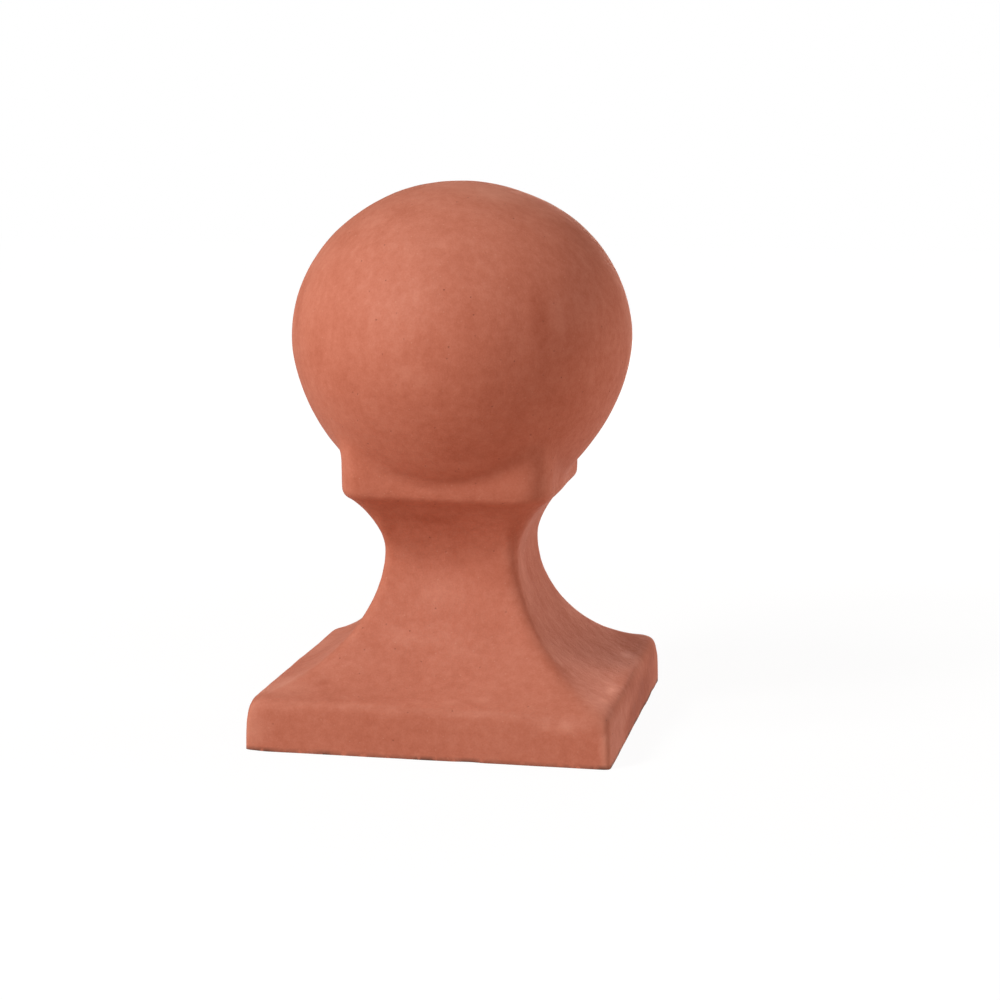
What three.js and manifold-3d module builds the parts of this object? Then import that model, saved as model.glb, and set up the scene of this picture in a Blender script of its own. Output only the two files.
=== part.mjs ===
// A ball finial in fired clay: a ball sitting in a square collar, on a waisted square neck
// that sweeps out to a square slab. It is pressed in a mould as one piece, so it is one mesh.
// Millimetres, +Z up. The origin is the middle of the slab's underside.
import * as THREE from "three";
import { LoftGeometry } from "three/addons/geometries/LoftGeometry.js";
import { mergeVertices } from "three/addons/utils/BufferGeometryUtils.js";
import Module from "manifold-3d";

// Slab, the square foot
const SLAB_SIDE = 300; // at the underside
const SLAB_HEIGHT = 42.5;
const SLAB_DRAFT = 2.5; // degrees that each side leans in on its way up
const SLAB_EDGE_RADIUS = 8.5; // the soft upper edge
const SLAB_CORNER_RADIUS = 4; // the upright corners

// Neck, which sweeps in from the slab to its waist and out again to the collar
const FOOT_RISE = 106.5; // from the slab's top up to the waist
const SHOULDER_RISE = 46; // from the waist up to the collar
const NECK_WIDTH = 112; // at the waist
const NECK_CORNER_RADIUS = 7;
const FOOT_SLOPE = 10; // degrees, where the sweep leaves the slab
const FOOT_REACH = 0.43; // share of the sweep's width over which it holds that slope
const FOOT_FULLNESS = 0.51; // share of its rise over which it stays nearly upright
const SHOULDER_SLOPE = 30; // degrees, where the neck meets the collar
const SHOULDER_REACH = 0.2; // the same two shares for the sweep above the waist
const SHOULDER_FULLNESS = 0.43;

// Collar, the square block that the ball sits in
const COLLAR_WIDTH = 174; // at its lower edge
const COLLAR_DRAFT = 2; // degrees that each side leans out on its way up
const COLLAR_EDGE_RADIUS = 9; // the lower edge
const COLLAR_CORNER_RADIUS = 24; // the upright corners
const COLLAR_FACE = 18.5; // how much of a side shows below the ball, at its middle

// Ball, a little flat on top and drawn in below
const BALL_DIAMETER = 284;
const BALL_CROWN = 129; // from the widest line up to the top
const BALL_UNDER = 149.5; // from the widest line down to the underside, inside the collar
const CROWN_POWER = 2; // of the curve above the widest line: 2 makes an ellipse
const UNDER_POWER = 1.8; // of the curve below it, less full than an ellipse

// How closely the flat faces follow the curves
const CORNER_STEPS = 6;
const SIDE_STEPS = 4;
const EDGE_STEPS = 6;
const SWEEP_STEPS = 18;
const BALL_SEGMENTS = 72;
const BALL_STEPS = 16;

const wasm = await Module();
wasm.setup();

const clay = new THREE.MeshStandardMaterial({
  color: 0xc06f57,
  roughness: 0.85,
  metalness: 0,
});

const up = new THREE.Vector3(0, 0, 1);
const radians = THREE.MathUtils.degToRad;
const slope = (degrees) => Math.tan(radians(degrees));

// Heights of the waist and of the collar's lower edge above the underside
const waistHeight = SLAB_HEIGHT + FOOT_RISE;
const collarHeight = waistHeight + SHOULDER_RISE;

// Half the collar's width at a height above its lower edge.
function collarHalfAt(rise) {
  return COLLAR_WIDTH / 2 + rise * slope(COLLAR_DRAFT);
}

// A point of the ball's outline, from its widest line: how far out, and how far up or down.
function ballPoint(angle, reach, power) {
  return new THREE.Vector2(
    (BALL_DIAMETER / 2) * Math.cos(angle) ** (2 / power),
    reach * Math.sin(angle) ** (2 / power),
  );
}

// Height of the ball's widest line: it sinks into the collar until COLLAR_FACE is left.
function ballHeight() {
  const across = collarHalfAt(COLLAR_FACE) / (BALL_DIAMETER / 2);
  const angle = Math.acos(across ** (UNDER_POWER / 2));
  return collarHeight + COLLAR_FACE + ballPoint(angle, BALL_UNDER, UNDER_POWER).y;
}

// Half width against height, from the slab's underside up to the collar's end inside the ball.
function plinthPath() {
  const footAngle = radians(FOOT_SLOPE);
  const shoulderAngle = radians(SHOULDER_SLOPE);
  const neckHalf = NECK_WIDTH / 2;
  const sideHeight = SLAB_HEIGHT - SLAB_EDGE_RADIUS;
  const slabHalf = SLAB_SIDE / 2 - sideHeight * slope(SLAB_DRAFT);
  const collarEnd = ballHeight();

  // Where the slab's soft edge turns into the sweep
  const edgeCentre = new THREE.Vector2(slabHalf - SLAB_EDGE_RADIUS, sideHeight);
  const foot = new THREE.Vector2(
    edgeCentre.x + SLAB_EDGE_RADIUS * Math.sin(footAngle),
    edgeCentre.y + SLAB_EDGE_RADIUS * Math.cos(footAngle),
  );
  const footReach = (foot.x - neckHalf) * FOOT_REACH;

  // Where the neck turns into the collar's lower edge
  const lipCentre = new THREE.Vector2(
    collarHalfAt(COLLAR_EDGE_RADIUS) - COLLAR_EDGE_RADIUS,
    collarHeight + COLLAR_EDGE_RADIUS,
  );
  const shoulder = new THREE.Vector2(
    lipCentre.x + COLLAR_EDGE_RADIUS * Math.sin(shoulderAngle),
    lipCentre.y - COLLAR_EDGE_RADIUS * Math.cos(shoulderAngle),
  );
  const shoulderReach = (shoulder.x - neckHalf) * SHOULDER_REACH;

  const path = new THREE.Path();
  path.moveTo(SLAB_SIDE / 2, 0);
  path.lineTo(slabHalf, sideHeight);
  path.absarc(edgeCentre.x, edgeCentre.y, SLAB_EDGE_RADIUS, 0, Math.PI / 2 - footAngle);
  path.bezierCurveTo(
    foot.x - footReach,
    foot.y + footReach * slope(FOOT_SLOPE),
    neckHalf,
    waistHeight - (waistHeight - foot.y) * FOOT_FULLNESS,
    neckHalf,
    waistHeight,
  );
  path.bezierCurveTo(
    neckHalf,
    waistHeight + (shoulder.y - waistHeight) * SHOULDER_FULLNESS,
    shoulder.x - shoulderReach,
    shoulder.y - shoulderReach * slope(SHOULDER_SLOPE),
    shoulder.x,
    shoulder.y,
  );
  path.absarc(lipCentre.x, lipCentre.y, COLLAR_EDGE_RADIUS, shoulderAngle - Math.PI / 2, 0);
  path.lineTo(collarHalfAt(collarEnd - collarHeight), collarEnd);
  return path;
}

// The path's points: two for a straight stretch, more for an arc or a sweep.
function pointsAlong(path) {
  const steps = { LineCurve: 1, EllipseCurve: EDGE_STEPS, CubicBezierCurve: SWEEP_STEPS };
  const [start] = path.curves[0].getPoints(1);
  return [start, ...path.curves.flatMap((curve) => curve.getPoints(steps[curve.type]).slice(1))];
}

// The upright corners' radius at a height: the slab's, the neck's and the collar's, blended.
function cornerRadiusAt(height) {
  const { lerp, inverseLerp, clamp } = THREE.MathUtils;
  if (height < waistHeight) {
    const share = clamp(inverseLerp(SLAB_HEIGHT, waistHeight, height), 0, 1);
    return lerp(SLAB_CORNER_RADIUS, NECK_CORNER_RADIUS, share);
  }
  const share = clamp(inverseLerp(waistHeight, collarHeight, height), 0, 1);
  return lerp(NECK_CORNER_RADIUS, COLLAR_CORNER_RADIUS, share);
}

// One level of the plinth: a square with round corners, counterclockwise seen from above.
function roundedSquare(half, radius, height) {
  const inset = half - radius;
  const quarter = [];
  for (let i = 0; i <= CORNER_STEPS; i++) {
    const angle = (i / CORNER_STEPS) * (Math.PI / 2);
    quarter.push([inset + radius * Math.cos(angle), inset + radius * Math.sin(angle)]);
  }
  for (let i = 1; i < SIDE_STEPS; i++) quarter.push([inset * (1 - (2 * i) / SIDE_STEPS), half]);

  const points = [];
  for (let side = 0; side < 4; side++)
    for (const [x, y] of quarter)
      points.push(new THREE.Vector3(x, y, height).applyAxisAngle(up, (side * Math.PI) / 2));
  return points;
}

// Slab, neck and collar in one loft.
function plinth() {
  const levels = pointsAlong(plinthPath()).map(({ x: half, y: height }) =>
    roundedSquare(half, cornerRadiusAt(height), height),
  );
  return new LoftGeometry(levels, { capStart: true, capEnd: true });
}

function ball() {
  const profile = [];
  for (let i = -BALL_STEPS; i <= BALL_STEPS; i++) {
    const angle = (Math.abs(i) / BALL_STEPS) * (Math.PI / 2);
    profile.push(
      i < 0
        ? ballPoint(angle, -BALL_UNDER, UNDER_POWER)
        : ballPoint(angle, BALL_CROWN, CROWN_POWER),
    );
  }
  const body = new THREE.LatheGeometry(profile, BALL_SEGMENTS);
  return body.rotateX(Math.PI / 2).translate(0, 0, ballHeight());
}

// A closed geometry as a solid, with its shared corners merged and its collapsed faces dropped.
function solidOf(geometry) {
  const bare = new THREE.BufferGeometry().copy(geometry);
  bare.deleteAttribute("normal");
  bare.deleteAttribute("uv");
  const merged = mergeVertices(bare);
  const corners = merged.index.array;
  const faces = [];
  for (let i = 0; i < corners.length; i += 3) {
    const [a, b, c] = corners.subarray(i, i + 3);
    if (a !== b && b !== c && c !== a) faces.push(a, b, c);
  }
  return new wasm.Manifold(
    new wasm.Mesh({
      numProp: 3,
      vertProperties: merged.attributes.position.array,
      triVerts: new Uint32Array(faces),
    }),
  );
}

function geometryOf(solid) {
  const { vertProperties, triVerts } = solid.getMesh();
  const geometry = new THREE.BufferGeometry();
  geometry.setAttribute("position", new THREE.BufferAttribute(vertProperties, 3));
  geometry.setIndex(new THREE.BufferAttribute(triVerts, 1));
  geometry.computeVertexNormals();
  return geometry;
}

function ballFinial() {
  const body = solidOf(plinth()).add(solidOf(ball()));
  const mesh = new THREE.Mesh(geometryOf(body), clay);
  mesh.name = "ball_finial";
  return mesh;
}

const part = new THREE.Group();
part.add(ballFinial());

export default part;
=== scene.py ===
# %% [markdown]
# # A ball finial in fired clay
#
# The object is a terracotta finial for the top of a brick pier: a ball in a square collar, on a
# waisted square neck that sweeps out to a square slab. It is pressed in a mould as one piece, so
# everything below ends in one mesh. We build the slab, neck and collar by extruding a block
# upwards, set a ball into it, and fuse the two the way wet clay is fused: with a voxel remesh.
# Then come the small faults of hand pressing, the clay itself, the camera and the light.

# %% Load the fixed frame and read its sizes
import math

import bmesh
import bpy
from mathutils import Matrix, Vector
from mathutils.geometry import interpolate_bezier


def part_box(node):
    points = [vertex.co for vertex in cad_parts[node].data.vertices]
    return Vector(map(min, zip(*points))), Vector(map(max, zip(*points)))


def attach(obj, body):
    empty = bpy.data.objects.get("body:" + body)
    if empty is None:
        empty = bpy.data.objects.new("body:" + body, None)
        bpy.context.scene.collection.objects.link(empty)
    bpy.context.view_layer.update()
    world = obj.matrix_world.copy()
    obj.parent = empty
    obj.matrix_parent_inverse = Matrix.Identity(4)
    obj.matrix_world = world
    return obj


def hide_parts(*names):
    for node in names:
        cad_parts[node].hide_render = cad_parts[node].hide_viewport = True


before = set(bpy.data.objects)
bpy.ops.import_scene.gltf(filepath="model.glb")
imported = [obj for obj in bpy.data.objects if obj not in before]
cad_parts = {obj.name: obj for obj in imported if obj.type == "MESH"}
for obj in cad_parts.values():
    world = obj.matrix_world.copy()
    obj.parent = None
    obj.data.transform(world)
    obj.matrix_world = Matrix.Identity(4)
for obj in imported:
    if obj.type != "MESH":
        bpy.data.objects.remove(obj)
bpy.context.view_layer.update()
low, high = (Vector(corner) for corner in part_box("ball_finial"))
print("The finial is", [round(side, 4) for side in high - low], "metres")

# %% [markdown]
# ## The outline of the slab, neck and collar
#
# Seen square on, the real outline is a few simple lines: the slab's upright side, its soft upper
# edge, a long sweep in to the waist, a short sweep out again, the collar's soft lower edge and its
# side. We could draw it as a curve object, but the block is going to be extruded level by level,
# so all we need is a list of levels: half the width, and the height, of each. Arcs and Bezier
# curves give them from a handful of sizes.

# %% The outline's sizes, in metres
ROOM = 0.00025  # left all round, because the unevenness of the clay swells the slab a little
SLAB_HALF = (high.x - low.x) / 2 - ROOM
SLAB_HEIGHT = 0.0425
SLAB_SIDE_LEAN = math.radians(2.5)
SLAB_EDGE_RADIUS = 0.0085

NECK_HALF = 0.056
WAIST_HEIGHT = 0.149
FOOT_SLOPE = math.radians(10)  # where the sweep leaves the slab
FOOT_REACH = 0.43  # share of the sweep's width over which it holds that slope
FOOT_FULLNESS = 0.51  # share of its rise over which it stays nearly upright
SHOULDER_SLOPE = math.radians(30)  # the same three for the sweep above the waist
SHOULDER_REACH = 0.2
SHOULDER_FULLNESS = 0.43

COLLAR_HALF = 0.087
COLLAR_HEIGHT = 0.195
COLLAR_SIDE_LEAN = math.radians(2)
COLLAR_EDGE_RADIUS = 0.009
COLLAR_END = 0.3  # inside the ball

EDGE_STEPS = 7
FOOT_STEPS = 26
SHOULDER_STEPS = 16


def arc(centre_half, centre_height, radius, start, end):
    """Levels along a round edge, the first one left out."""
    angles = [start + (end - start) * i / EDGE_STEPS for i in range(1, EDGE_STEPS + 1)]
    return [
        (centre_half + radius * math.cos(a), centre_height + radius * math.sin(a))
        for a in angles
    ]


def sweep(start, start_pull, end_pull, end, steps):
    """Levels along a Bezier curve, the first one left out."""
    pulls = [Vector((half, 0, height)) for half, height in (start, start_pull, end_pull, end)]
    return [(p.x, p.z) for p in interpolate_bezier(*pulls, steps + 1)[1:]]


# %% Work out the levels, from the top of the slab's side upwards
side_height = SLAB_HEIGHT - SLAB_EDGE_RADIUS
side_half = SLAB_HALF - side_height * math.tan(SLAB_SIDE_LEAN)
edge_half = side_half - SLAB_EDGE_RADIUS
levels = [(side_half, side_height)]
levels += arc(edge_half, side_height, SLAB_EDGE_RADIUS, 0, math.pi / 2 - FOOT_SLOPE)

foot = levels[-1]
reach = (foot[0] - NECK_HALF) * FOOT_REACH
levels += sweep(
    foot,
    (foot[0] - reach, foot[1] + reach * math.tan(FOOT_SLOPE)),
    (NECK_HALF, WAIST_HEIGHT - (WAIST_HEIGHT - foot[1]) * FOOT_FULLNESS),
    (NECK_HALF, WAIST_HEIGHT),
    FOOT_STEPS,
)

lip_half = COLLAR_HALF + COLLAR_EDGE_RADIUS * (math.tan(COLLAR_SIDE_LEAN) - 1)
lip_height = COLLAR_HEIGHT + COLLAR_EDGE_RADIUS
shoulder = (
    lip_half + COLLAR_EDGE_RADIUS * math.sin(SHOULDER_SLOPE),
    lip_height - COLLAR_EDGE_RADIUS * math.cos(SHOULDER_SLOPE),
)
reach = (shoulder[0] - NECK_HALF) * SHOULDER_REACH
levels += sweep(
    (NECK_HALF, WAIST_HEIGHT),
    (NECK_HALF, WAIST_HEIGHT + (shoulder[1] - WAIST_HEIGHT) * SHOULDER_FULLNESS),
    (shoulder[0] - reach, shoulder[1] - reach * math.tan(SHOULDER_SLOPE)),
    shoulder,
    SHOULDER_STEPS,
)
levels += arc(lip_half, lip_height, COLLAR_EDGE_RADIUS, SHOULDER_SLOPE - math.pi / 2, 0)


def collar_half(height):
    """Half the collar's width at a height."""
    return COLLAR_HALF + (height - COLLAR_HEIGHT) * math.tan(COLLAR_SIDE_LEAN)


levels.append((collar_half(COLLAR_END), COLLAR_END))
print(len(levels), "levels, the last at", levels[-1])

# %% [markdown]
# ## Extruding the block
#
# We start with a cube for the slab's side, then extrude its top face once for each level and scale
# it to that level's width. A lathe would be wrong here: this stretch is square, and the square's
# corners are what a mould gives it. The block is begun a little too low, so that the underside can
# be cut off clean at the end.

# %% Raise a block level by level
SPARE = 0.004  # below the ground


def work_on(piece):
    """Make one object the only selected and active one."""
    bpy.ops.object.select_all(action="DESELECT")
    piece.select_set(True)
    bpy.context.view_layer.objects.active = piece


def select_corners(piece, wanted):
    """In edit mode, select the corners that a test picks by their place."""
    bpy.ops.mesh.select_mode(type="VERT")
    bpy.ops.mesh.select_all(action="DESELECT")
    mesh = bmesh.from_edit_mesh(piece.data)
    for corner in mesh.verts:
        corner.select = wanted(corner.co)
    mesh.select_flush_mode()
    bmesh.update_edit_mesh(piece.data)


bpy.ops.object.select_all(action="DESELECT")
bpy.ops.mesh.primitive_cube_add(
    size=1,
    location=(0, 0, (side_height - SPARE) / 2),
    scale=(2 * SLAB_HALF, 2 * SLAB_HALF, side_height + SPARE),
)
plinth = bpy.context.object
plinth.name = "plinth"
bpy.ops.object.transform_apply(location=True, rotation=True, scale=True)
bpy.ops.object.mode_set(mode="EDIT")
select_corners(plinth, lambda place: place.z > side_height / 2)
bpy.ops.mesh.select_mode(type="FACE")
half, height = SLAB_HALF, side_height
for next_half, next_height in levels:
    if next_height > height:
        rise = {"value": (0, 0, next_height - height)}
        bpy.ops.mesh.extrude_region_move(TRANSFORM_OT_translate=rise)
    share = next_half / half
    bpy.ops.transform.resize(value=(share, share, 1), center_override=(0, 0, next_height))
    half, height = next_half, next_height
bpy.ops.object.mode_set(mode="OBJECT")
print("The block has", len(plinth.data.vertices), "corners")

# %% [markdown]
# ## Rounding the upright corners
#
# The mould's upright corners are soft, and not equally so: tight on the slab, wider where the sweep
# begins, tighter again at the waist and widest on the collar. A Bevel modifier rounds them all at
# once, and a bevel weight on each corner edge says how much of the full radius it gets. The
# modifier measures its width across the edge, and where the sweep is nearly flat the edge runs
# aslant to the levels, so we take that share off.

# %% Weight and bevel the corner edges
# Heights, and the corners' radius there
CORNER_RADII = [(SLAB_HEIGHT, 0.004), (0.065, 0.011), (WAIST_HEIGHT, 0.007), (COLLAR_HEIGHT, 0.024)]
CORNER_SEGMENTS = 8


def between(start, end, share):
    """The value a share of the way from start to end, and never past either."""
    return start + (end - start) * min(1, max(0, share))


def corner_radius(height):
    """The corner radius at a height, blended between the listed ones."""
    for (start, radius), (end, next_radius) in zip(CORNER_RADII, CORNER_RADII[1:]):
        if height < end:
            return between(radius, next_radius, (height - start) / (end - start))
    return CORNER_RADII[-1][1]


def apply_modifier(piece, kind, **settings):
    """Add a modifier with its settings and apply it."""
    work_on(piece)
    modifier = piece.modifiers.new(kind.lower(), kind)
    for name, value in settings.items():
        setattr(modifier, name, value)
    bpy.ops.object.modifier_apply(modifier=modifier.name)


widest = max(radius for _, radius in CORNER_RADII)
weights = plinth.data.attributes.new("bevel_weight_edge", "FLOAT", "EDGE")
for edge in plinth.data.edges:
    start, end = (plinth.data.vertices[i].co for i in edge.vertices)
    along = (end - start).normalized()
    if along.z != 0:
        aslant = math.sqrt(1 - along.x**2)
        radius = corner_radius((start.z + end.z) / 2)
        weights.data[edge.index].value = radius * aslant / widest
apply_modifier(
    plinth, "BEVEL", limit_method="WEIGHT", width=widest, segments=CORNER_SEGMENTS
)
print("Rounded, the block has", len(plinth.data.vertices), "corners")

# %% [markdown]
# ## The ball
#
# The real ball isn't a true sphere: its crown is a little flat and its lower half draws in towards
# the collar. We start from a sphere, squash the crown with one scale, and then take the rings below
# the widest line one at a time, sinking and narrowing each to a slightly pointed oval.

# %% Shape the ball ring by ring
BALL_RADIUS = 0.142
BALL_UNDER = 0.1495  # from the widest line down to the lowest point, inside the collar
UNDER_POWER = 1.8  # of the curve below the widest line, where 2 makes an ellipse
COLLAR_FACE = 0.0185  # how much of the collar's side shows below the ball, at its middle
BALL_SEGMENTS = 96
BALL_RINGS = 64
SAME_HEIGHT = 1e-5  # the corners of one ring differ by less

across = collar_half(COLLAR_HEIGHT + COLLAR_FACE) / BALL_RADIUS
sunk = math.acos(across ** (UNDER_POWER / 2))
ball_height = COLLAR_HEIGHT + COLLAR_FACE + BALL_UNDER * math.sin(sunk) ** (2 / UNDER_POWER)
crown = high.z - ball_height

bpy.ops.object.select_all(action="DESELECT")
bpy.ops.mesh.primitive_uv_sphere_add(
    segments=BALL_SEGMENTS, ring_count=BALL_RINGS, radius=BALL_RADIUS, location=(0, 0, ball_height)
)
ball = bpy.context.object
ball.name = "ball"
bpy.ops.object.transform_apply(location=True, rotation=True, scale=True)
bpy.ops.object.mode_set(mode="EDIT")
select_corners(ball, lambda place: place.z > ball_height + SAME_HEIGHT)
bpy.ops.transform.resize(value=(1, 1, crown / BALL_RADIUS), center_override=(0, 0, ball_height))
for ring in range(1, BALL_RINGS // 2 + 1):
    angle = math.pi * ring / BALL_RINGS
    ring_height = ball_height - BALL_RADIUS * math.sin(angle)
    narrow = math.cos(angle) ** (2 / UNDER_POWER - 1)
    sink = BALL_RADIUS * math.sin(angle) - BALL_UNDER * math.sin(angle) ** (2 / UNDER_POWER)
    select_corners(ball, lambda place: abs(place.z - ring_height) < SAME_HEIGHT)
    bpy.ops.transform.resize(value=(narrow, narrow, 1), center_override=(0, 0, ring_height))
    bpy.ops.transform.translate(value=(0, 0, sink))
bpy.ops.object.mode_set(mode="OBJECT")
print("The ball's widest line is at", round(ball_height, 4))

# %% [markdown]
# ## Fusing ball and base
#
# On the real finial there is no joint between the two: the clay runs from the collar into the ball
# in one soft crease. A boolean would leave a knife-sharp line and thin slivers. So we join the two
# objects and let a voxel remesh wrap one even skin of small quads round both, then soften the
# crease alone, with a Smooth modifier held by a vertex group. At the collar's four corners the
# crease dies out, so a second group is smoothed there for much longer. Two light rounds over the
# whole skin take off the steps that the remesh has left.

# %% Join, remesh, and soften the crease
SKIN = 0.0027  # the side of one small quad
CREASE_REACH = 0.012  # to each side, and twice that at the collar's corners
CREASE_LOW = COLLAR_HEIGHT + 0.012
CREASE_HIGH = ball_height - 0.04
TIP_START = 0.095  # how far out from the axis the collar's corners begin
TIP_FULL = 0.115
CREASE_ROUNDS = 24
TIP_ROUNDS = 60
SKIN_ROUNDS = 2

work_on(plinth)
ball.select_set(True)
bpy.ops.object.join()
finial = plinth
finial.name = "finial_pressed_clay"
apply_modifier(finial, "REMESH", mode="VOXEL", voxel_size=SKIN)
print("The skin has", len(finial.data.polygons), "faces")


def from_ball(place):
    """Roughly how far a place is from the ball's surface, below its widest line."""
    out = math.hypot(place.x, place.y) / BALL_RADIUS
    down = max(0, ball_height - place.z) / BALL_UNDER
    return abs((out**UNDER_POWER + down**UNDER_POWER) ** (1 / UNDER_POWER) - 1) * BALL_RADIUS


def from_collar(place):
    """How far a place is from the collar's sides."""
    return abs(max(abs(place.x), abs(place.y)) - collar_half(place.z))


def near_tip(place):
    """How near a place is to one of the collar's four corners, from 0 to 1."""
    return between(0, 1, (math.hypot(place.x, place.y) - TIP_START) / (TIP_FULL - TIP_START))


def soften(piece, rounds, group=""):
    """Smooth a piece for some rounds, or only what a vertex group holds of it."""
    apply_modifier(piece, "SMOOTH", factor=0.5, iterations=rounds, vertex_group=group)


crease = finial.vertex_groups.new(name="crease")
tips = finial.vertex_groups.new(name="tips")
for corner in finial.data.vertices:
    if CREASE_LOW < corner.co.z < CREASE_HIGH:
        tip = near_tip(corner.co)
        reach = CREASE_REACH * (1 + tip)
        near = 1 - max(from_ball(corner.co), from_collar(corner.co)) / reach
        if near > 0:
            crease.add([corner.index], near, "REPLACE")
            tips.add([corner.index], near * tip, "REPLACE")
soften(finial, CREASE_ROUNDS, "crease")
soften(finial, TIP_ROUNDS, "tips")
soften(finial, SKIN_ROUNDS)

# %% [markdown]
# ## The faults of hand pressing
#
# A pressed piece leaves its mould soft and is carried, so nothing on it stays quite true. The
# collar has slipped a little to one side, the crown has a flat beside its middle, the sides of the
# neck are slightly dished, the slab has a raised edge, a shallow hollow behind it and a dent, and
# its corners are worn. In Blender such things are pushed by hand: one corner is moved with
# proportional editing, and its neighbours follow, less and less up to the reach. Each push is a
# place, a move and a reach, in millimetres.

# %% A helper that pushes
MILLIMETRE = 0.001


def push(piece, place, move, reach):
    """In edit mode, move the corner nearest to a place, and what is around it. Millimetres."""
    bpy.ops.mesh.select_all(action="DESELECT")
    mesh = bmesh.from_edit_mesh(piece.data)
    target = Vector(place) * MILLIMETRE
    nearest = min(mesh.verts, key=lambda corner: (corner.co - target).length_squared)
    nearest.select = True
    mesh.select_flush_mode()
    bmesh.update_edit_mesh(piece.data)
    bpy.ops.transform.translate(
        value=Vector(move) * MILLIMETRE,
        use_proportional_edit=True,
        proportional_edit_falloff="SMOOTH",
        proportional_size=reach * MILLIMETRE,
    )


# %% Push the clay out of true
COLLAR_SLIPS = [((-89, 20, 215), (2.2, 0, 0), 70), ((89, -20, 210), (1, 0, 0), 55)]
CROWN_FLAT = [((56, -24, 440), (-0.6, 0, -2.8), 62), ((-34, -20, 450), (-0.6, 0, 0.4), 40)]
DISHED_NECK = [
    ((0, -57, 150), (0, 1.1, 0), 42),
    ((57, 0, 150), (-1.1, 0, 0), 42),
    ((0, 57, 150), (0, -1.1, 0), 42),
    ((-57, 0, 150), (1.1, 0, 0), 42),
]
SLAB_EDGES = [
    ((-60, -147, 39), (0, 0, 1.2), 75),
    ((130, 120, 42), (0, 0, 0.8), 60),
    ((-104, 104, 60), (-1.4, 1.4, 3.2), 40),
]
WORN_CORNERS = [
    ((-146, -146, 40), (1.0, 1.0, -1.2), 16),
    ((146, -146, 40), (-1.2, 1.2, -2.2), 24),
    ((146, 146, 40), (-1.4, -1.4, -1.2), 16),
    ((-146, 146, 40), (3.4, -3.0, -4.2), 34),
    ((148, 60, 40), (-0.8, 0, -1.0), 34),
]
SLAB_HOLLOWS = [
    ((-12, -119, 49), (0, 0, -0.4), 40),
    ((-90, -115, 52), (0, 0, -0.9), 13),
    ((133, -40, 44), (-0.3, 0, -0.7), 18),
    ((-20, 125, 46), (0, 0, -0.9), 34),
]

work_on(finial)
bpy.ops.object.mode_set(mode="EDIT")
bpy.ops.mesh.select_mode(type="VERT")
faults = COLLAR_SLIPS + CROWN_FLAT + DISHED_NECK + SLAB_EDGES + WORN_CORNERS + SLAB_HOLLOWS
for fault in faults:
    push(finial, *fault)
bpy.ops.object.mode_set(mode="OBJECT")
print(len(faults), "pushes")

# %% [markdown]
# One corner has been rubbed down with a wet hand: the arris of the sweep dies out before it gets to
# the slab's front right corner, and the slab's edges go soft there. A push can't do that, because
# it moves an edge and keeps it sharp, so this corner gets a Smooth modifier of its own.

# %% Rub one corner down
SOFT_PLACE = Vector((0.116, -0.118, 0.048))
SOFT_REACH = 0.048  # rubbed in full over half of it, and less and less from there
SOFT_ROUNDS = 70

soft = finial.vertex_groups.new(name="rubbed")
for corner in finial.data.vertices:
    near = 1 - (corner.co - SOFT_PLACE).length / SOFT_REACH
    if near > 0:
        soft.add([corner.index], min(1, 2 * near), "REPLACE")
soften(finial, SOFT_ROUNDS, "rubbed")

# %% [markdown]
# Over these large faults lies a general unevenness that no list of pushes would give: fingers and a
# wet sponge leave low swells from two to five centimetres across. A Displace modifier with a clouds
# texture makes them, as much out as in, which is why the slab was begun a little small.

# %% Add the general unevenness
SWELLS = (0.055, 0.0009)  # how far across and how deep
FINGER_MARKS = (0.02, 0.0004)


def uneven(piece, name, size, depth):
    """Move the surface in and out in soft lumps of a size, half a depth each way, in metres."""
    lumps = bpy.data.textures.new(name, "CLOUDS")
    lumps.noise_scale = size
    lumps.noise_depth = 1
    apply_modifier(
        piece, "DISPLACE", texture=lumps, strength=depth, mid_level=0.5, direction="NORMAL"
    )


uneven(finial, "swells", *SWELLS)
uneven(finial, "finger_marks", *FINGER_MARKS)
print("With the spare it measures", [round(side, 4) for side in finial.dimensions], "metres")

# %% [markdown]
# ## The underside and the foot
#
# The finial is struck off flat below with a wire, so the spare clay is cut away at the ground with
# a bisect, which also closes the cut with one flat face. Only then is the foot's edge knocked: it is
# broken here and there, by less than a millimetre, where it stuck to its board.

# %% Cut the underside flat and break its edge
FOOT_BREAKS = [
    ((-149, -149, 0), (0.2, 0.2, 0.7), 18),
    ((36, -150, 0), (0, 0.2, 0.4), 16),
    ((150, 104, 0), (-0.2, 0, 0.4), 14),
    ((-150, 60, 0), (0.3, 0, 0.7), 18),
    ((40, 150, 0), (0, -0.3, 0.6), 16),
]

work_on(finial)
bpy.ops.object.mode_set(mode="EDIT")
bpy.ops.mesh.select_all(action="SELECT")
bpy.ops.mesh.bisect(plane_co=(0, 0, 0), plane_no=(0, 0, 1), use_fill=True, clear_inner=True)
for fault in FOOT_BREAKS:
    push(finial, *fault)
bpy.ops.object.mode_set(mode="OBJECT")
lowest = min(corner.co.z for corner in finial.data.vertices)
print("The lowest point is at", round(lowest, 6), "with", len(finial.data.polygons), "faces in all")
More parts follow.
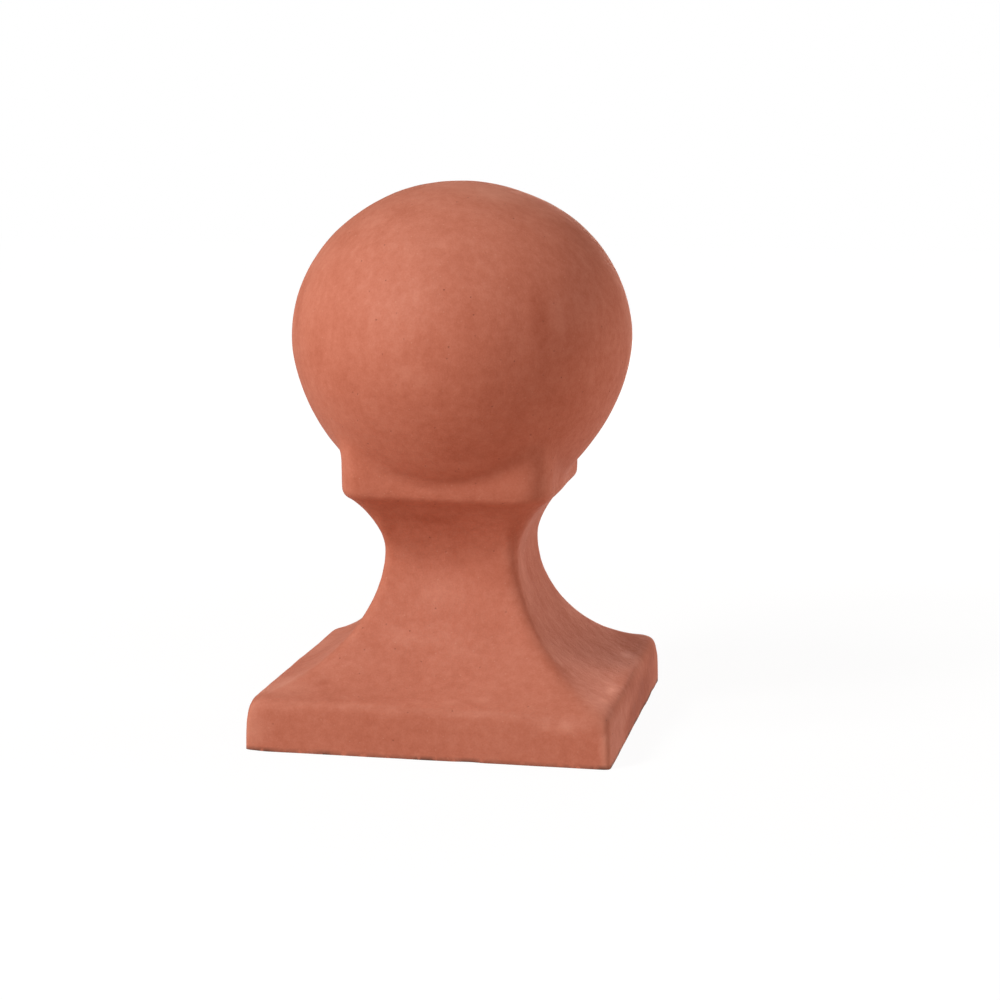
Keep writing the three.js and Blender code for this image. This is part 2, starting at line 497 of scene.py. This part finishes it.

# %% [markdown]
# ## Hollows and arrises, kept on the mesh
#
# Wear follows the shape: handling rubs the raised edges pale. The hollows get painted shade: they
# are darkened where shade falls into them. A material can't tell the two apart by place, so we
# measure them once and store them. The trick is to compare the finial with a smoothed copy of
# itself: an edge stands out of the copy, and a hollow lies inside it. The result goes into a colour
# attribute, red for edges and green for hollows, and blue holds a painted contact shadow along the
# broken foot.

# %% Measure the edges, the hollows and the foot's painted contact shadow
COPY_ROUNDS = 40
PLAIN = 0.0006  # how far even the plain ball stands out of its smoothed copy
EDGE_FULL = 0.0016  # how far beyond that an edge counts in full
HOLLOW_FULL = 0.0014  # how far inside the copy a hollow counts in full
# A painted contact shadow along the foot: full at the ground, gone at this height
FOOT_SHADOW_HEIGHT = 0.0035
FRONT = -SLAB_HALF * 0.97  # the front face lies beyond this
FRONT_FOOT_SHADOW = 0.55  # away from the marks, and full on them
OTHER_FOOT_SHADOW = 0.95
# Where along the front the painted contact shadow is darkest, and how far that reaches
FOOT_SHADOW_MARKS = [(-0.143, 0.022), (-0.083, 0.006), (-0.001, 0.011), (0.036, 0.009), (0.141, 0.008)]


def stands_out(piece, rounds):
    """How far each corner of a piece stands out of a smoothed copy of it, in metres."""
    copy = piece.copy()
    copy.data = piece.data.copy()
    bpy.context.collection.objects.link(copy)
    soften(copy, rounds)
    pairs = zip(piece.data.vertices, copy.data.vertices)
    gaps = [(corner.co - smooth.co).dot(corner.normal) for corner, smooth in pairs]
    bpy.data.objects.remove(copy)
    return gaps


def foot_shadow_at(place):
    """How much painted contact shadow the foot has at a place, from 0 to 1."""
    low_down = between(1, 0, place.z / FOOT_SHADOW_HEIGHT)
    if place.y > FRONT:
        return OTHER_FOOT_SHADOW * low_down
    along = max(1 - abs(place.x - x) / reach for x, reach in FOOT_SHADOW_MARKS)
    return low_down * between(FRONT_FOOT_SHADOW, 1, along * 2)


wear_and_painted_shade = finial.data.color_attributes.new("wear_and_painted_shade", "FLOAT_COLOR", "POINT")
for corner, gap in zip(finial.data.vertices, stands_out(finial, COPY_ROUNDS)):
    edge = between(0, 1, (gap - PLAIN) / EDGE_FULL)
    hollow = between(0, 1, -gap / HOLLOW_FULL)
    wear_and_painted_shade.data[corner.index].color = (edge, hollow, foot_shadow_at(corner.co), 1)
for channel, name in enumerate(("edge", "hollow", "painted_foot_shadow")):
    amounts = [value.color[channel] for value in wear_and_painted_shade.data]
    print("Mean", name, round(sum(amounts) / len(amounts), 3), "most", round(max(amounts), 3))

# %% [markdown] Some patches have a place of their own. Many are painted shade: on the slab's right side and back right corner and on the sweep at its front right corner, on the collar's left front where the ball's shadow falls, down the neck's left edge, under the collar, in the crease over the collar's left corner, where the ball turns away from the light on its left, and low on the ball. Others are painted light: a painted highlight on the ball's left front and one along the slab's left upper edge, and light thrown up onto the ball's lower front. Down the neck's right face run pale and dark bands of painted light and shade. The rest are paler and darker patches of the clay itself, among them a darker streak on the ball where the sponge ran. These are dabbed on like strokes of vertex paint, each a place and a size along the three axes, in millimetres, and a strength. A stroke with a strength below zero darkens, and each fades out softly. The scuffs are small pale ones along the slab's upper edge, where the piece has been set down and dragged, and one dark one is painted shade in the dent behind the slab's front left edge.
# Some patches have a place of their own. Many are painted shade: on the slab's right side and back
# right corner and on the sweep at its front right corner, on the collar's left front where the
# ball's shadow falls, down the neck's left edge, under the collar, in the crease over the collar's
# left corner, where the ball turns away from the light on its left, and low on the ball. Others are
# painted light: a painted highlight on the ball's left front and one along the slab's left upper
# edge, and light thrown up onto the ball's lower front. Down the neck's right face run pale and dark
# bands of painted light and shade. The rest are paler and darker patches of the clay itself, among
# them a darker streak on the ball where the sponge ran. These are dabbed on like strokes of vertex
# paint, each a place and a size along the three axes, in millimetres, and a strength. A stroke with
# a strength below zero darkens, and each fades out softly. The scuffs are small pale ones along the
# slab's upper edge, where the piece has been set down and dragged, and one dark one is painted shade
# in the dent behind the slab's front left edge.

# %% The strokes: painted shade, painted light and the clay's own patches
SHADE_LIGHT_AND_PATCH_STROKES = [
    # Painted shade on the slab's right side and back right corner, and on the sweep at its front
    # right corner
    ((150, 50, 14), (22, 100, 28), -1.3),
    ((150, -30, 8), (14, 60, 20), -1.1),
    ((146, -20, 36), (14, 80, 16), -0.7),
    ((128, 112, 48), (34, 44, 14), -0.8),
    ((98, -86, 62), (30, 16, 22), -0.55),
    # Painted shade on the collar's left front, where the ball's shadow falls, down the neck's left
    # edge and under the collar
    ((-70, -87, 212), (18, 30, 22), -0.6),
    ((-50, -60, 165), (12, 20, 38), -0.6),
    ((-14, -66, 181), (42, 16, 9), -0.5),
    # Painted shade where the ball turns away from the light on its left
    ((-122, -62, 356), (16, 26, 34), -0.5),
    ((-80, -70, 409), (28, 28, 16), -0.5),
    ((-97, -103, 321), (18, 24, 34), -0.5),
    # A darker streak on the ball where the sponge ran, and darker patches on the ball
    ((84, -108, 357), (12, 14, 46), -0.6),
    ((94, -22, 418), (20, 20, 16), -0.45),
    ((-36, -68, 433), (26, 24, 12), -0.4),
    # Painted shade in the crease over the collar's left corner, and low on the ball
    ((-67, -88, 232), (16, 16, 14), -0.45),
    ((-74, -117, 294), (30, 22, 22), -0.45),
    ((94, -95, 284), (16, 16, 18), -0.4),
    # A darker patch on the ball's front
    ((31, -134, 353), (16, 16, 22), -0.4),
    # A paler patch on the crown
    ((40, -34, 445), (50, 44, 14), 0.9),
    # A painted highlight on the ball's left front
    ((-22, -135, 354), (40, 24, 40), 0.4),
    # A paler patch on the collar's front right
    ((84, -76, 215), (14, 14, 14), 0.4),
    # A painted highlight along the slab's left upper edge
    ((-136, 40, 44), (14, 60, 10), 0.5),
    # Paler patches on the ball, and on the front of the neck and the sweep below it
    ((-13, -140, 307), (30, 20, 16), 0.35),
    ((99, -98, 352), (9, 12, 40), 0.4),
    ((-4, -60, 122), (44, 16, 34), 0.5),
    ((-20, -80, 86), (50, 24, 16), 0.45),
    # Painted light and shade: pale and dark bands down the neck's right face
    ((50, -56, 156), (10, 10, 22), 0.5),
    ((58, -28, 134), (10, 11, 24), 0.5),
    ((65, -37, 109), (10, 12, 20), 0.5),
    ((60, -4, 128), (10, 10, 24), -0.45),
    ((69, -4, 101), (12, 12, 18), -0.45),
    # Painted light thrown up onto the ball's lower front
    ((28, -101, 232), (36, 20, 9), 0.45),
    # Paler patches on the slab, the crown and the back of the sweep
    ((-126, -108, 45), (40, 44, 14), 0.9),
    ((-142, -150, 18), (20, 12, 24), 0.7),
    ((148, -150, 18), (10, 10, 36), 1.6),
    ((0, -30, 451), (40, 30, 8), 0.5),
    ((108, -149, 32), (30, 10, 12), 0.5),
    ((81, 62, 82), (20, 26, 18), 0.6),
    # Painted shade on the slab's right side, further back
    ((150, 104, 34), (14, 34, 18), -0.9),
]
SCUFFS_AND_DENT_SHADE = [
    ((133, 56, 45), (7, 18, 6), 0.9),
    ((138, -64, 43), (8, 18, 6), 0.9),
    ((136, -100, 43), (7, 10, 6), 0.7),
    ((114, -149, 33), (9, 6, 7), 0.7),
    ((96, -149, 32), (7, 6, 6), 0.6),
    ((-8, -137, 43), (12, 7, 5), 0.6),
    ((18, -133, 44), (12, 7, 5), 0.6),
    ((42, -129, 46), (10, 7, 5), 0.5),
    # Painted shade in the dent behind the slab's front left edge
    ((-90, -116, 51), (8, 8, 5), -0.6),
]


# %% Dab them on
def dabbed(place):
    """The sum of all strokes at a place, from -1 for dark to 1 for pale."""
    total = 0
    for middle, size, strength in SHADE_LIGHT_AND_PATCH_STROKES + SCUFFS_AND_DENT_SHADE:
        steps = [(p / MILLIMETRE - m) / s for p, m, s in zip(place, middle, size)]
        near = between(1, 0, math.hypot(*steps))
        total += strength * near * near * (3 - 2 * near)
    return max(-1, min(1, total))


painted_shade_light_and_patches = finial.data.attributes.new("painted_shade_light_and_patches", "FLOAT", "POINT")
for corner in finial.data.vertices:
    painted_shade_light_and_patches.data[corner.index].value = dabbed(corner.co)
print(len(SHADE_LIGHT_AND_PATCH_STROKES), "strokes and", len(SCUFFS_AND_DENT_SHADE), "scuffs")

# %% [markdown]
# ## Building a clay material
#
# Fired clay is matt and never one flat colour. The kiln leaves broad paler and redder patches, the
# mix gives mottles down to a fine sandy grain, and a wet sponge leaves faint upright streaks. A
# photograph could hold all that, but noise on Object coordinates does it for every side, and
# needs no seams. A short helper adds a node, and takes values and links in one go.

# %% Helpers for node trees
def add_node(tree, kind, inputs, **options):
    """Add a shader node; an input is a value, or another node's output to be linked."""
    node = tree.nodes.new("ShaderNode" + kind)
    for name, value in options.items():
        setattr(node, name, value)
    for name, value in inputs.items():
        if isinstance(value, bpy.types.NodeSocket):
            tree.links.new(value, node.inputs[name])
        else:
            node.inputs[name].default_value = value
    return node


def new_material(name):
    """A new material, its tree and its shader."""
    material = bpy.data.materials.new(name)
    material.use_nodes = True
    return material, material.node_tree, material.node_tree.nodes["Principled BSDF"]


def maths(tree, operation, *values):
    """One step of arithmetic on values or outputs."""
    node = add_node(tree, "Math", dict(enumerate(values)), operation=operation)
    return node.outputs[0]


def noise(tree, place, size, detail=2, lumpiness=0.5):
    """Soft noise in lumps of about a size, in metres. It runs from 0 to 1, round a half."""
    inputs = {"Vector": place, "Scale": 1 / size, "Detail": detail, "Roughness": lumpiness}
    return add_node(tree, "TexNoise", inputs).outputs[0]


def rising(tree, value, start, end, low=0.0, high=1.0):
    """A value that climbs from low to high while another goes from start to end."""
    inputs = {"Value": value, "From Min": start, "From Max": end, "To Min": low, "To Max": high}
    return add_node(tree, "MapRange", inputs, interpolation_type="SMOOTHSTEP").outputs[0]


def mix(tree, share, first, second):
    """Two colours mixed."""
    inputs = {"Factor": share, "A": first, "B": second}
    return add_node(tree, "Mix", inputs, data_type="RGBA").outputs["Result"]


# %% [markdown]
# The clay's tone is one number made of several noises: kiln patches a hand wide, mottles of two or
# three centimetres, blotches of a few millimetres, and grain of one or two. A colour ramp turns the
# number into colour. Deeper clay is redder and paler clay is yellower, as on the real thing, so the
# ramp has five colours and not one colour made lighter and darker. The dabs shift the same number,
# and so do the streaks, which are noise drawn out along the height, on the ball alone.

# %% The clay's tone
# Each mottle has a size in metres, a share in the tone and a level of detail
MOTTLES = [(0.13, 0.30, 2), (0.028, 0.28, 3), (0.0065, 0.36, 2), (0.0016, 0.25, 2)]
STREAK_SIZE = 0.011
STREAK_LENGTH = 9  # times its size
STREAK_SHARE = 0.16
STREAK_START = 0.24  # the height from which they fade in
STREAK_FULL = 0.30
PATCH_SHARE = 0.36

clay, tree, shader = new_material("terracotta")
place = add_node(tree, "TexCoord", {}).outputs["Object"]
stretched = add_node(tree, "Mapping", {"Vector": place, "Scale": (1, 1, 1 / STREAK_LENGTH)})
streaks = noise(tree, stretched.outputs[0], STREAK_SIZE, 1)
height = add_node(tree, "SeparateXYZ", {"Vector": place}).outputs["Z"]
on_ball = rising(tree, height, STREAK_START, STREAK_FULL, 0, STREAK_SHARE)

tone = 0.5 - sum(share for _, share, _ in MOTTLES) / 2
tone = maths(tree, "MULTIPLY_ADD", maths(tree, "SUBTRACT", streaks, 0.5), on_ball, tone)
for size, share, detail in MOTTLES:
    tone = maths(tree, "MULTIPLY_ADD", noise(tree, place, size, detail), share, tone)
# The dabs: painted shade and painted light in many places, the clay's own patches in the rest
shade_light_and_patch_dabs = add_node(tree, "Attribute", {}, attribute_name="painted_shade_light_and_patches").outputs["Fac"]
tone = maths(tree, "MULTIPLY_ADD", shade_light_and_patch_dabs, PATCH_SHARE, tone)

# %% Colour for the tone, from dark to light
DARK_CLAY = (0.360, 0.084, 0.042, 1)
DEEP_CLAY = (0.457, 0.126, 0.068, 1)
CLAY = (0.536, 0.169, 0.101, 1)
PALE_CLAY = (0.608, 0.219, 0.141, 1)
LIGHT_CLAY = (0.670, 0.272, 0.184, 1)

ramp = add_node(tree, "ValToRGB", {"Fac": tone})
stops = ramp.color_ramp.elements
stops[0].position, stops[0].color = 0, DARK_CLAY
stops[1].position, stops[1].color = 1, LIGHT_CLAY
for position, shade in ((0.25, DEEP_CLAY), (0.5, CLAY), (0.75, PALE_CLAY)):
    stops.new(position).color = shade
colour = ramp.outputs["Color"]
print("The clay has", len(stops), "colours and", len(MOTTLES), "sizes of mottle")

# %% [markdown]
# Wear and painted shade come next. The attribute gives the edges, which are rubbed pale, and the
# hollows, which are darkened as painted shade, and noise breaks them up, because an edge is never
# rubbed evenly. That noise keeps near a half, so its ramps run over the middle of its range only.
# Pale specks of grog and small dark pits go in with a Voronoi texture: each cell has one point, and
# only what lies close to the point is marked. The painted contact shadow along the foot goes over
# all of it.

# %% Rub the edges and darken the hollows with painted shade
RUBBED = (0.64, 0.25, 0.165, 1)
RUBBED_LEAST = 0.08
RUBBED_MOST = 0.4
# Painted shade for the hollows
SHADED = (0.40, 0.105, 0.055, 1)
SHADED_LEAST = 0.4
SHADED_MOST = 0.65
PATCHY_SIZE = 0.012

measured = add_node(tree, "VertexColor", {}, layer_name="wear_and_painted_shade").outputs["Color"]
amounts = add_node(tree, "SeparateColor", {"Color": measured}).outputs
patchy = noise(tree, place, PATCHY_SIZE, 3, 0.6)

share = rising(tree, patchy, 0.38, 0.62, RUBBED_LEAST, RUBBED_MOST)
rubbed = maths(tree, "MULTIPLY", amounts[0], share)
colour = mix(tree, rubbed, colour, RUBBED)
share = rising(tree, patchy, 0.3, 0.7, SHADED_MOST, SHADED_LEAST)
painted_hollow_shade = maths(tree, "MULTIPLY", amounts[1], share)
colour = mix(tree, painted_hollow_shade, colour, SHADED)

# %% Add specks, pits and the foot's painted contact shadow
SPECK = (0.66, 0.33, 0.23, 1)
SPECK_SPACING = 0.0075
SPECK_RADIUS = 0.0009
SPECK_MOST = 0.4
PIT = (0.22, 0.062, 0.035, 1)
PIT_SPACING = 0.011
PIT_RADIUS = 0.001
PIT_MOST = 0.75
PIT_OFFSET = (0.5, 0.3, 0.7)  # so that the pits don't follow the specks
# The colour of the foot's painted contact shadow, and the size of the noise that breaks it up
FOOT_SHADOW_COLOUR = (0.075, 0.035, 0.022, 1)
FOOT_SHADOW_SIZE = 0.008


def dots(tree, place, spacing, radius, most):
    """Small round dots, one to a cell of a size in metres, fading out at a radius."""
    cells = add_node(tree, "TexVoronoi", {"Vector": place, "Scale": 1 / spacing})
    return rising(tree, cells.outputs["Distance"], radius / spacing, 0, 0, most)


specks = dots(tree, place, SPECK_SPACING, SPECK_RADIUS, SPECK_MOST)
colour = mix(tree, specks, colour, SPECK)
elsewhere = add_node(tree, "Mapping", {"Vector": place, "Location": PIT_OFFSET}).outputs[0]
pits = dots(tree, elsewhere, PIT_SPACING, PIT_RADIUS, PIT_MOST)
colour = mix(tree, pits, colour, PIT)
broken = rising(tree, noise(tree, place, FOOT_SHADOW_SIZE, 3), 0.35, 0.5)
painted_foot_shadow = maths(tree, "MULTIPLY", amounts[2], broken)
colour = mix(tree, painted_foot_shadow, colour, FOOT_SHADOW_COLOUR)
tree.links.new(colour, shader.inputs["Base Color"])

# %% [markdown]
# The surface is dry and rough all over, a touch smoother where hands have rubbed it. The bump is
# built in real heights, in metres: low swells, small lumps, the sandy grain and the pits. Shape
# that shows in the outline is in the mesh already, so the bump carries only what is finer.

# %% Give it a dry skin
ROUGH_DARK = 0.86
ROUGH_PALE = 0.76
RUBBED_SMOOTHER = 0.1
# The size across and the height of the swells, the lumps and the grain
RELIEF = [(0.016, 0.0005), (0.0045, 0.00022), (0.0013, 0.00013)]
PIT_DEPTH = 0.0004
SHARP_FROM = math.radians(50)

rough = rising(tree, tone, 0.3, 0.7, ROUGH_DARK, ROUGH_PALE)
rough = maths(tree, "MULTIPLY_ADD", rubbed, -RUBBED_SMOOTHER, rough)
tree.links.new(rough, shader.inputs["Roughness"])

relief = maths(tree, "MULTIPLY", pits, -PIT_DEPTH)
for size, rise in RELIEF:
    relief = maths(tree, "MULTIPLY_ADD", noise(tree, place, size), rise, relief)
bump = add_node(tree, "Bump", {"Height": relief, "Strength": 1.0, "Distance": 1.0})
tree.links.new(bump.outputs[0], shader.inputs["Normal"])

finial.data.materials.clear()
finial.data.materials.append(clay)
work_on(finial)
bpy.ops.object.shade_smooth_by_angle(angle=SHARP_FROM)
print("The clay's tree has", len(tree.nodes), "nodes")

# %% [markdown]
# ## Camera
#
# The camera stands a little to the right of the front face and a little above it, two metres off,
# and the finial sits left of and above the middle of the picture. It is placed by its bearing, its
# height angle and its distance, because each of the three can then be set without the others.

# %% Set up the camera
VIEW_AZIMUTH = math.radians(12)
VIEW_ELEVATION = math.radians(8.27)
VIEW_DISTANCE = 2.016
VIEW_LENS = 86.24  # millimetres
MIDDLE = Vector((0, 0, 0.24))  # of the finial
AIM = Vector((0.0323, -0.0011, 0.1865))  # right of the middle and below it


def seen_from(azimuth, elevation, distance):
    """The place at a bearing from the front, a height angle and a distance from the finial."""
    level = distance * math.cos(elevation)
    offset = (math.sin(azimuth) * level, -math.cos(azimuth) * level, distance * math.sin(elevation))
    return MIDDLE + Vector(offset)


def look_at(thing, target):
    """Turn a camera or a lamp towards a place."""
    thing.rotation_euler = (target - thing.location).to_track_quat("-Z", "Y").to_euler()


bpy.ops.object.camera_add(location=seen_from(VIEW_AZIMUTH, VIEW_ELEVATION, VIEW_DISTANCE))
camera = bpy.context.object
look_at(camera, AIM)
camera.data.lens = VIEW_LENS
bpy.context.scene.camera = camera
print("The camera is at", [round(side, 3) for side in camera.location])

# %% [markdown]
# ## Light
#
# Two soft lamps side by side at the upper left of the front do most of the work. A weak one fills
# the right side, one on the right behind gives the pale rim down the ball, and one low behind lifts
# the far edges. All are round area lamps, because a wide lamp gives the soft shading of a studio.

# %% Set up the lamps
LAMP_DISTANCE = 3


def lamp(name, azimuth, elevation, size, watts, colour):
    """A round lamp at a bearing and a height angle in degrees, turned to the finial."""
    spot = seen_from(math.radians(azimuth), math.radians(elevation), LAMP_DISTANCE)
    bpy.ops.object.light_add(type="AREA", location=spot)
    light = bpy.context.object
    light.name = name
    light.data.shape = "DISK"
    light.data.size = size
    light.data.energy = watts
    light.data.color = colour
    look_at(light, MIDDLE)


# Bearing, height angle, width in metres, power in watts, colour
lamp("key", -42, 32, 0.7, 60, (1, 0.97, 0.95))
lamp("high_key", -55, 48, 0.7, 29, (0.94, 1, 1))
lamp("fill", 60, 28, 1.4, 13, (1, 0.80, 0.75))
lamp("rim", 120, 28, 1.4, 26, (1, 0.85, 0.74))
lamp("back", 180, 8, 1.4, 50, (1, 0.74, 0.62))

# %% [markdown]
# Warm light comes up from below, as it does when a clay piece stands on a lit table, and more of it
# from behind. It comes from no one place, so the world gives it and not a lamp: the world is dark
# above and glows below, and only the camera sees it as plain white.

# %% Light the world from below
GLOW_FROM_BELOW = (0.71, 0.507, 0.419, 1)
GLOW_FROM_BEHIND = (1.32, 1.15, 1.06, 1)
BEHIND_START = 0.3  # along +Y, in a direction of length 1
BEHIND_FULL = 0.8
BLACK = (0, 0, 0, 1)
WHITE = (1, 1, 1, 1)

world = bpy.data.worlds.new("studio")
bpy.context.scene.world = world
world.use_nodes = True
sky = world.node_tree
direction = add_node(sky, "TexCoord", {}).outputs["Generated"]
_, behind, height = add_node(sky, "SeparateXYZ", {"Vector": direction}).outputs
behind = rising(sky, behind, BEHIND_START, BEHIND_FULL)
glow = mix(sky, behind, GLOW_FROM_BELOW, GLOW_FROM_BEHIND)
glow = mix(sky, maths(sky, "LESS_THAN", height, 0.0), BLACK, glow)
to_camera = add_node(sky, "LightPath", {}).outputs["Is Camera Ray"]
shown = mix(sky, to_camera, glow, WHITE)
sky.links.new(shown, sky.nodes["Background"].inputs["Color"])
bpy.context.scene.view_settings.view_transform = "Standard"

# %% [markdown]
# ## Floor
#
# The floor is white and nearly shadowless. Its own colour is almost black, so that little shadow
# shows on it, and it glows by itself, a bit more further out, so that it runs into the white behind
# it with no line. It doesn't light the finial or shade it from below: the world's glow already
# stands for what a real floor throws back.

# %% Lay the floor
FLOOR_SIDE = 12
FLOOR_COLOUR = (0.06, 0.06, 0.06, 1)
NEAR = 0.3  # metres from the middle, up to where the floor glows least
FAR = 1.6
NEAR_GLOW = 0.95
FAR_GLOW = 1.0

bpy.ops.mesh.primitive_plane_add(size=FLOOR_SIDE)
floor = bpy.context.object
floor.name = "floor"
pale, tree, shader = new_material("pale_floor")
shader.inputs["Base Color"].default_value = FLOOR_COLOUR
shader.inputs["Roughness"].default_value = 1
shader.inputs["Specular IOR Level"].default_value = 0
shader.inputs["Emission Color"].default_value = WHITE
place = add_node(tree, "TexCoord", {}).outputs["Object"]
away = add_node(tree, "VectorMath", {0: place}, operation="LENGTH").outputs["Value"]
glow = rising(tree, away, NEAR, FAR, NEAR_GLOW, FAR_GLOW)
tree.links.new(glow, shader.inputs["Emission Strength"])
floor.data.materials.append(pale)
floor.visible_diffuse = False
floor.visible_glossy = False
floor.visible_shadow = False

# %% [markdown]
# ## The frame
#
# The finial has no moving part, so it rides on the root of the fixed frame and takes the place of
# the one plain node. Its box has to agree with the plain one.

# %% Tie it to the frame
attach(finial, "root")
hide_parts("ball_finial")
